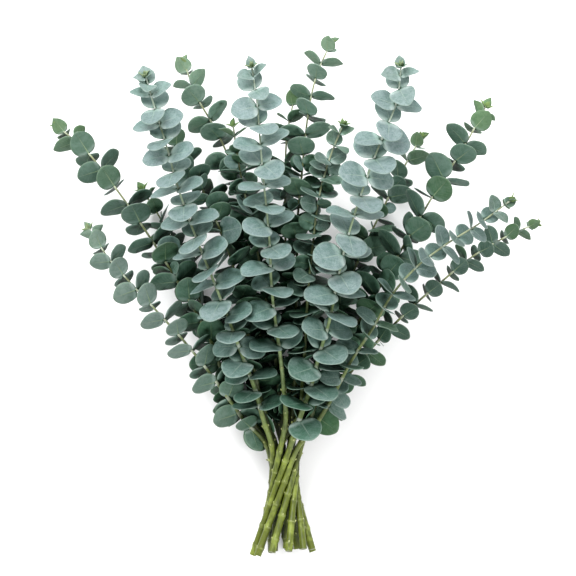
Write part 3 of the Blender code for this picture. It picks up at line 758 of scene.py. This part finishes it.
class Finish:
    def __init__(self, name):
        self.material = bpy.data.materials.new(name)
        self.material.use_nodes = True
        self.tree = self.material.node_tree
        self.shader = self.tree.nodes["Principled BSDF"]

    def add(self, kind, settings=None, values=None, output=0):
        node = self.tree.nodes.new(kind)
        for key, value in (settings or {}).items():
            if key == "stops":
                self.setStops(node.color_ramp, value)
            else:
                setattr(node, key, value)
        for key, value in (values or {}).items():
            self.feed(node.inputs[key], value)
        return Signal(self, node.outputs[output])

    def setStops(self, ramp, stops):
        while len(ramp.elements) < len(stops):
            ramp.elements.new(0.5)
        for element, (place, colour) in zip(ramp.elements, stops):
            element.position = place
            element.color = (*colour, 1.0)

    def feed(self, socket, value):
        if isinstance(value, Signal):
            self.tree.links.new(value.socket, socket)
        elif socket.type == "RGBA" and len(value) == 3:
            socket.default_value = (*value, 1.0)
        else:
            socket.default_value = value

    def mix(self, share, first, second, blend="MIX"):
        settings = dict(data_type="RGBA", blend_type=blend, clamp_factor=True)
        return self.add("ShaderNodeMix", settings, {"Factor": share, 6: first, 7: second}, output=2)

    def noise(self, scale, detail=2.0, roughness=0.5, vector=None):
        values = {"Scale": scale, "Detail": detail, "Roughness": roughness}
        values["Vector"] = vector or self.objectPlace()
        return self.add("ShaderNodeTexNoise", None, values)

    def objectPlace(self):
        return self.add("ShaderNodeTexCoord", output=3)

    def stretched(self, scale):
        return self.add("ShaderNodeMapping", None, {"Vector": self.objectPlace(), "Scale": scale})

    def parts(self, vector):
        node = self.tree.nodes.new("ShaderNodeSeparateXYZ")
        self.tree.links.new(vector.socket, node.inputs[0])
        return [Signal(self, node.outputs[n]) for n in range(3)]

    def attribute(self, name):
        return self.parts(self.add("ShaderNodeAttribute", dict(attribute_name=name), output=1))

    def openSky(self):
        return self.add("ShaderNodeAttribute", dict(attribute_name="openSky"), output=2)

    def set(self, **values):
        for key, value in values.items():
            self.feed(self.shader.inputs[key.replace("_", " ")], value)

    def bump(self, height, distance, strength=1.0):
        self.set(Normal=self.add(
            "ShaderNodeBump", None, {"Height": height, "Distance": distance, "Strength": strength}))


# Painted shade: leaves and stems that see little sky are painted greener and darker
paintedSkyShade = dict(
    leaf=(0.10, 0.42), leafShadeColour=(0.03, 0.11, 0.055), leafShadeTintRange=(0.15, 0.85), shadeTint=(0.76, 0.96, 0.86),
    stem=(0.12, 0.76), stemShadeColour=(0.14, 0.18, 0.06))
leafTones = dict(  # colours of the two faces: high on the branch, low on it (darker, partly for growth and partly as painted shade), and of young leaves
    pale=dict(top=(0.138, 0.188, 0.189), low=(0.041, 0.089, 0.063), young=(0.16, 0.213, 0.187),
              underTop=(0.091, 0.151, 0.124), underLow=(0.035, 0.077, 0.049),
              underYoung=(0.153, 0.213, 0.151), sprout=(0.224, 0.274, 0.141),
              bloom=0.85, fresh=0.0),
    grey=dict(top=(0.081, 0.119, 0.103), low=(0.066, 0.125, 0.085), young=(0.086, 0.134, 0.077),
              underTop=(0.063, 0.108, 0.080), underLow=(0.049, 0.106, 0.061),
              underYoung=(0.086, 0.138, 0.066), sprout=(0.166, 0.232, 0.091),
              bloom=0.5, fresh=0.3),
    green=dict(top=(0.094, 0.134, 0.129), low=(0.062, 0.120, 0.081), young=(0.098, 0.154, 0.075),
               underTop=(0.064, 0.107, 0.085), underLow=(0.046, 0.102, 0.056),
               underYoung=(0.098, 0.162, 0.062), sprout=(0.158, 0.232, 0.075),
               bloom=0.35, fresh=0.55),
    tall=dict(top=(0.165, 0.226, 0.209), low=(0.064, 0.127, 0.089), young=(0.142, 0.207, 0.127),
              underTop=(0.146, 0.217, 0.175), underLow=(0.046, 0.106, 0.059),
              underYoung=(0.142, 0.213, 0.117), sprout=(0.174, 0.241, 0.1),
              bloom=0.45, fresh=0.35),
    silver=dict(top=(0.137, 0.182, 0.174), low=(0.064, 0.124, 0.090), young=(0.158, 0.212, 0.174),
                underTop=(0.124, 0.169, 0.148), underLow=(0.056, 0.103, 0.070),
                underYoung=(0.149, 0.212, 0.148), sprout=(0.207, 0.266, 0.133),
                bloom=0.65, fresh=0.1),
)


def likeTone(tone, light, lowLight, **own):
    # the same tone, lighter or darker high and low on the branch
    made = dict(leafTones[tone])
    for key, value in leafTones[tone].items():
        if isinstance(value, tuple):
            made[key] = tuple(v * (lowLight if key in ("low", "underLow") else light) for v in value)
    made.update(own)
    return made


leafTones["clear"] = likeTone("pale", 0.95, 1.15)
leafTones["bright"] = likeTone("green", 1.16, 1.16)
leafTones["dusky"] = likeTone("green", 0.82, 0.82)
leafTones["turning"] = likeTone("green", 0.82, 1.0, low=(0.15, 0.205, 0.185), underLow=(0.10, 0.155, 0.125))
leafRise = dict(clear=(0.26, 0.60), other=(0.22, 0.72))  # where on the branch low turns into high
# The slot of a branch is named after its tone; these few have leaves of a tone of their own
ownTones = dict(
    left_pale_branch="clear", right_pale_branch="clear", centre_tall_branch="tall", left_tall_branch="tall",
    left_low_branch="silver", right_wide_branch="bright", right_grey_branch="turning",
    right_low_branch="dusky")
leafMarks = dict(
    midribWidth=0.026, veinCount=7.0, veinSlant=2.3, rim=(0.88, 0.99), bloomScale=95.0,
    speckScale=820.0, mottleScale=260.0, grainScale=900.0, fresh=(0.042, 0.098, 0.026),
    bloomColour=(0.225, 0.285, 0.285), jointColour=(0.40, 0.46, 0.44))


def veinsOf(finish):
    # (midrib, side veins, nearness to the rim, place along), from the leaf's own UV map
    along, across, _ = finish.parts(finish.add("ShaderNodeUVMap", dict(uv_map="leafPlace")))
    off = abs(across - 0.5) * 2.0
    width = leafMarks["midribWidth"] * (1.6 - along)
    midrib = 1 - finish.add(
        "ShaderNodeMapRange", dict(interpolation_type="SMOOTHSTEP"),
        {"Value": off, "From Min": width * 0.4, "From Max": width * 2.2})
    wander = finish.noise(120.0, 2.0) - 0.5
    phase = (along * leafMarks["veinCount"] - off * leafMarks["veinSlant"] + wander * 1.1) * math.tau
    wave = finish.add("ShaderNodeMath", dict(operation="SINE"), {0: phase})
    side = wave.rises(0.82, 1.0) * (1 - off.rises(0.72, 0.95))
    end = abs(along - 0.5) * 2.0
    rim = off.most(end).rises(*leafMarks["rim"])
    return midrib, side, rim, along


def upperLeaf(tone):
    c = leafTones[tone]
    finish = Finish(f"{tone}_leaf_upper")
    youth, chance, share = finish.attribute("leafTone")
    midrib, side, rim, along = veinsOf(finish)
    height = share.rises(*leafRise.get(tone, leafRise["other"]))
    # darker low on the branch: partly the older leaves' own colour, partly painted shade
    colour = finish.mix(height + (chance - 0.5) * 0.3, c["low"], c["top"])
    colour = finish.mix(chance.rises(0.62, 1.0) * c["fresh"], colour, leafMarks["fresh"])
    colour = finish.mix(youth * 0.8, colour, c["young"])
    mottle = finish.noise(leafMarks["mottleScale"], 5.0, 0.65)
    grain = finish.noise(leafMarks["grainScale"], 3.0, 0.6)
    colour = finish.mix(mottle.rises(0.43, 0.60) * 0.55, colour, (0.52, 0.68, 0.60), "MULTIPLY")
    colour = finish.mix(grain.rises(0.42, 0.60) * 0.4, colour, (1.42, 1.34, 1.40), "MULTIPLY")
    bloomPatch = finish.noise(leafMarks["bloomScale"], 6.0, 0.7).rises(0.44, 0.60)
    base = 1 - along.rises(0.0, 0.32)
    bloom = (bloomPatch * 0.5 + base * 0.6) * (0.55 + grain.rises(0.4, 0.6) * 0.45)
    colour = finish.mix(bloom * c["bloom"] * (height * 0.6 + 0.4), colour, leafMarks["bloomColour"])
    colour = finish.mix((1 - along.rises(0.03, 0.24)) * c["bloom"] * 0.8, colour, leafMarks["jointColour"])
    colour = finish.mix(midrib * (1.15 - along) * 0.65, colour, (0.25, 0.31, 0.27))
    colour = finish.mix(side * 0.15, colour, (0.21, 0.275, 0.25))
    colour = finish.mix(rim * 0.45, colour, (0.22, 0.29, 0.24))
    colour = finish.mix(youth.rises(1.05, 1.25) * 0.85, colour, c["sprout"])
    speck = finish.add("ShaderNodeTexVoronoi", None, {
        "Vector": finish.objectPlace(), "Scale": leafMarks["speckScale"]})
    speckled = (1 - speck.rises(0.10, 0.32)) * finish.noise(260.0).rises(0.40, 0.56)
    colour = finish.mix(speckled * 0.55, colour, (0.035, 0.07, 0.05))
    # Painted shade: greener, then darker, where the leaf sees little sky
    sky = finish.openSky()
    colour = finish.mix(1 - sky.rises(*paintedSkyShade["leafShadeTintRange"]), colour, paintedSkyShade["shadeTint"], "MULTIPLY")
    colour = finish.mix(1 - sky.rises(*paintedSkyShade["leaf"]), colour, paintedSkyShade["leafShadeColour"], "MULTIPLY")
    finish.set(Base_Color=colour, Roughness=0.58 + bloomPatch * 0.16, IOR=1.4, Specular_IOR_Level=0.25)
    finish.bump(midrib * -0.6 + side * -0.3 + mottle * 0.7 + grain * 0.15, 0.0005, 0.8)
    return finish.material


def underLeaf(tone):
    c = leafTones[tone]
    finish = Finish(f"{tone}_leaf_under")
    youth, chance, share = finish.attribute("leafTone")
    midrib, side, rim, along = veinsOf(finish)
    height = share.rises(*leafRise.get(tone, leafRise["other"]))
    # darker low on the branch: partly the older leaves' own colour, partly painted shade
    colour = finish.mix(height + (chance - 0.5) * 0.4, c["underLow"], c["underTop"])
    colour = finish.mix(chance.rises(0.62, 1.0) * c["fresh"], colour, leafMarks["fresh"])
    colour = finish.mix(youth * 0.85, colour, c["underYoung"])
    mottle = finish.noise(leafMarks["mottleScale"], 5.0, 0.65)
    colour = finish.mix(mottle.rises(0.43, 0.60) * 0.45, colour, (0.52, 0.68, 0.58), "MULTIPLY")
    film = finish.noise(leafMarks["bloomScale"], 6.0, 0.7).rises(0.44, 0.62)
    colour = finish.mix(film * 0.4 * c["bloom"], colour, (0.15, 0.22, 0.19))
    colour = finish.mix((1 - along.rises(0.03, 0.20)) * c["bloom"] * 0.7, colour, leafMarks["jointColour"])
    colour = finish.mix(midrib * (1.1 - along) * 0.75, colour, (0.20, 0.26, 0.15))
    colour = finish.mix(side * 0.14, colour, (0.13, 0.19, 0.12))
    colour = finish.mix(rim * 0.35, colour, (0.14, 0.20, 0.12))
    colour = finish.mix(youth.rises(1.05, 1.25) * 0.85, colour, c["sprout"])
    # Painted shade: greener, then darker, where the leaf sees little sky
    sky = finish.openSky()
    colour = finish.mix(1 - sky.rises(*paintedSkyShade["leafShadeTintRange"]), colour, paintedSkyShade["shadeTint"], "MULTIPLY")
    colour = finish.mix(1 - sky.rises(*paintedSkyShade["leaf"]), colour, paintedSkyShade["leafShadeColour"], "MULTIPLY")
    finish.set(Base_Color=colour, Roughness=0.52 + film * 0.18, IOR=1.4, Specular_IOR_Level=0.2)
    finish.bump(midrib * 1.0 + side * 0.4 + mottle * 0.5, 0.0005, 0.8)
    return finish.material


stemTones = dict(  # colours from the cut end up to the shoot, of the nodes and of the brown marks
    pale=dict(base=(0.080, 0.103, 0.005), middle=(0.22, 0.30, 0.13), top=(0.29, 0.36, 0.28),
              node=(0.44, 0.50, 0.46)),
    grey=dict(base=(0.073, 0.093, 0.005), middle=(0.17, 0.22, 0.08), top=(0.22, 0.25, 0.15),
              node=(0.36, 0.40, 0.32)),
    green=dict(base=(0.073, 0.095, 0.005), middle=(0.15, 0.19, 0.06), top=(0.21, 0.23, 0.12),
               node=(0.32, 0.36, 0.26)),
)
stemMarks = dict(ring=(0.22, 0.25, 0.09), brown=(0.05, 0.032, 0.012), streak=(260.0, 30.0, 260.0))


def stemSkin(tone):
    c = stemTones[tone]
    finish = Finish(f"{tone}_stem")
    share, bare, leafy = finish.attribute("stemPlace")
    streaks = finish.noise(1.0, 3.0, 0.6, vector=finish.stretched(stemMarks["streak"]))
    patches = finish.noise(70.0, 3.0, 0.55)
    low = 1 - share.rises(0.2, 0.45)
    colour = finish.mix(share.rises(0.14, 0.42), c["base"], c["middle"])
    colour = finish.mix(share.rises(0.45, 0.95), colour, c["top"])
    colour = finish.mix(patches.rises(0.44, 0.64) * low * 0.8, colour, (0.18, 0.225, 0.034))
    colour = finish.mix(streaks.rises(0.48, 0.64) * low * 0.6, colour, (0.026, 0.038, 0.004))
    marks = finish.noise(420.0, 3.0, 0.6).rises(0.60, 0.69)
    colour = finish.mix(marks * (0.45 + bare * 0.4), colour, stemMarks["brown"])
    ring = bare.rises(0.55, 0.98) * finish.noise(240.0, 2.0).rises(0.36, 0.60)
    colour = finish.mix(ring * 0.65, colour, stemMarks["ring"])
    colour = finish.mix(leafy.rises(0.01, 0.45) * 0.85, colour, c["node"])
    # Painted shade: darker where the stem sees little sky
    colour = finish.mix(1 - finish.openSky().rises(*paintedSkyShade["stem"]), colour, paintedSkyShade["stemShadeColour"], "MULTIPLY")
    finish.set(Base_Color=colour, Roughness=0.34 + patches * 0.22, IOR=1.45, Specular_IOR_Level=0.36)
    finish.bump(streaks * 0.6 + bare * 0.5, 0.0003, 0.7)
    return finish.material


def cutWood():
    finish = Finish("fresh_cut")
    grain = finish.noise(900.0, 3.0, 0.6)
    colour = finish.mix(grain.rises(0.35, 0.65), (0.35, 0.38, 0.17), (0.50, 0.52, 0.30))
    finish.set(Base_Color=colour, Roughness=0.75)
    finish.bump(grain, 0.0002, 0.6)
    return finish.material


def budSkin():
    finish = Finish("bud")
    grain = finish.noise(500.0, 2.0)
    colour = finish.mix(grain.rises(0.3, 0.7), (0.25, 0.28, 0.08), (0.35, 0.37, 0.16))
    finish.set(Base_Color=colour, Roughness=0.55)
    finish.bump(grain, 0.0002, 0.5)
    return finish.material


# The bunch
shootForm = dict(pairs=((9.0, 28), (7.5, 46), (5.0, 68)), lowest=1.8, gap=0.9, broad=0.62, curl=-0.10)


def growShoot(stem, form, draw):
    # the small open leaves that end a shoot
    shoot = []
    for n, (length, lean) in enumerate(shootForm["pairs"]):
        turn = form["turn"] + 90 * (n + 1)
        for opposite in (0, 180):
            leaf = leafAt(
                stem, stem.length - shootForm["lowest"] + n * shootForm["gap"],
                (turn + opposite, lean + draw.uniform(-8, 8), draw.uniform(-20, 20), form["facing"] * 0.5),
                length * draw.uniform(0.85, 1.1), length * shootForm["broad"], shootForm["curl"])
            leaf["count"] = -1
            shoot.append(leaf)
    return shoot


def settleOnLine(leaf, line, tree):
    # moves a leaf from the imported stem's straight stretch onto the finer curve
    near, n, _ = tree.find(leaf["base"])
    ahead = (line[min(n + 1, len(line) - 1)] - line[max(n - 1, 0)]).normalized()
    point = leaf["base"] - leaf["along"] * leaf["root"]
    gap = near - point
    leaf["base"] = leaf["base"] + gap - ahead * gap.dot(ahead)


def modelBranch(name, form, stem, leaves, models, skins, draw):
    line, _ = smoothStem(stem)
    tree = KDTree(len(line))
    for n, place in enumerate(line):
        tree.insert(place, n)
    tree.balance()
    leafNodes, bareNodes = nodesOfStem(stem, form, draw)
    blades = []
    for n, leaf in enumerate(leaves + growShoot(stem, form, draw)):
        leaf["root"] = leafForm["rootPlace"] * stem.width(leaf["distance"])
        settleOnLine(leaf, line, tree)
        look = leafCharacter(leaf, draw)
        blades.append(modelLeaf(models["leaf"], f"{name}_leaf_{n}", leaf, look, leaf["distance"] / stem.length))
    foliage = joinPieces(blades, name + "_foliage")
    tone = ownTones.get(name, form["tone"])
    foliage.data.materials.append(skins[tone, "upper"])
    foliage.data.materials.append(skins[tone, "under"])
    bpy.ops.object.shade_smooth()
    tube = modelStem(name + "_tube", stem, leafNodes, bareNodes)
    tube.data.materials.append(skins[form["tone"], "stem"])
    tube.data.materials.append(skins["cut"])
    buds = []
    for n, distance in enumerate(bareNodes):
        turn = math.radians(form["turn"] + n * 90)
        for opposite in (0.0, math.pi):
            size = draw.uniform(0.7, 1.1)
            buds.append(placeBud(models["bud"], f"{name}_bud_{n}", stem, distance, turn + opposite, size))
    return foliage, tube, buds


def finishBranch(name, form, foliage, tube, buds, tree, ways):
    markSky(foliage, tree, ways, twoSided=True)
    markSky(tube, tree, ways, twoSided=False)
    smooth = foliage.modifiers.new("Smooth", "SUBSURF")
    smooth.levels = smooth.render_levels = 1
    shell = foliage.modifiers.new("Thickness", "SOLIDIFY")
    shell.thickness = leafLook["thickness"] * mm
    shell.offset = 0.0
    shell.material_offset = 1
    applyModifiers(foliage)
    whole = joinPieces([foliage, tube, *buds], name.replace("_branch", "_spray"))
    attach(whole, "root")
    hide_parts(name)
    form["tone"] + "_foliage"
    return whole


def growBunch():
    draw = random.Random(bunch["seed"])
    looks = random.Random(leafLook["seed"])
    blades = {False: coarseBlade(leafForm["grownOutline"]), True: coarseBlade(leafForm["youngOutline"])}
    room = Room()
    stems = {name: Stem(form) for name, form in branches.items()}
    for name, stem in stems.items():
        room.add(name, *coarseTube(name, stem))
    leaves = {name: growLeaves(name, form, stems[name], room, blades, draw) for name, form in branches.items()}
    models = dict(leaf=modelLeafSheet(), bud=modelBud())
    models["bud"].data.materials.append(budSkin())
    skins = {"cut": cutWood()}
    for tone in leafTones:
        skins[tone, "upper"] = upperLeaf(tone)
        skins[tone, "under"] = underLeaf(tone)
    for tone in stemTones:
        skins[tone, "stem"] = stemSkin(tone)
    fill = random.Random(fillForm["seed"])
    for name in fillForm["highest"]:
        more = growFill(name, branches[name], stems[name], room, blades, fill)
        print(name, len(leaves[name]), "leaves and", len(more), "more")
        leaves[name] += more
    parts = {}
    for name, form in branches.items():
        parts[name] = modelBranch(name, form, stems[name], leaves[name], models, skins, looks)
    tree = solidTree([piece for foliage, tube, buds in parts.values() for piece in (foliage, tube)])
    for name, form in branches.items():
        whole = finishBranch(name, form, *parts[name], tree, skyWays())
        print(whole.name, len(leaves[name]), "leaves,", len(whole.data.polygons), "faces")
    for model in models.values():
        bpy.data.objects.remove(model)


# Studio
studio = dict(
    middle=(-0.009, 0.0098), field=0.576, cameraHeight=6.0, focus=0.10, sensor=36.0,
    floorSize=14.0, floorTone=(0.90, 0.90, 0.90), worldStrength=1.35,
    key=dict(place=(-0.8, 2.1, 2.3), size=2.2, power=150.0),
    fill=dict(place=(1.6, -0.8, 2.4), size=2.4, power=30.0),
)


def addLight(name, place, size, power):
    deselectAll()
    bpy.ops.object.light_add(type="AREA", location=place)
    light = bpy.context.object
    light.name = name
    light.data.size = size
    light.data.energy = power
    light.rotation_euler = (Vector((0.0, 0.0, 0.08)) - light.location).to_track_quat("-Z", "Y").to_euler()


def setStudio():
    deselectAll()
    bpy.ops.mesh.primitive_plane_add(size=studio["floorSize"])
    floor = bpy.context.object
    floor.name = "floor"
    finish = Finish("pale_floor")
    finish.set(Base_Color=studio["floorTone"], Roughness=0.9)
    floor.data.materials.append(finish.material)
    floor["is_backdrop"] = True
    bpy.ops.object.camera_add(location=(*studio["middle"], studio["cameraHeight"]), rotation=(0, 0, 0))
    camera = bpy.context.object
    camera.data.sensor_width = studio["sensor"]
    camera.data.lens = studio["sensor"] * (studio["cameraHeight"] - studio["focus"]) / studio["field"]
    bpy.context.scene.camera = camera
    addLight("key", **studio["key"])
    addLight("fill", **studio["fill"])
    world = bpy.data.worlds.new("studio")
    world.use_nodes = True
    world.node_tree.nodes["Background"].inputs["Color"].default_value = (1.0, 1.0, 1.0, 1.0)
    world.node_tree.nodes["Background"].inputs["Strength"].default_value = studio["worldStrength"]
    bpy.context.scene.world = world
    bpy.context.scene.view_settings.view_transform = "Standard"
    print("studio ready")


growBunch()
setStudio()
sizes = [[list(corner) for corner in box] for box in (cadBox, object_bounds())]
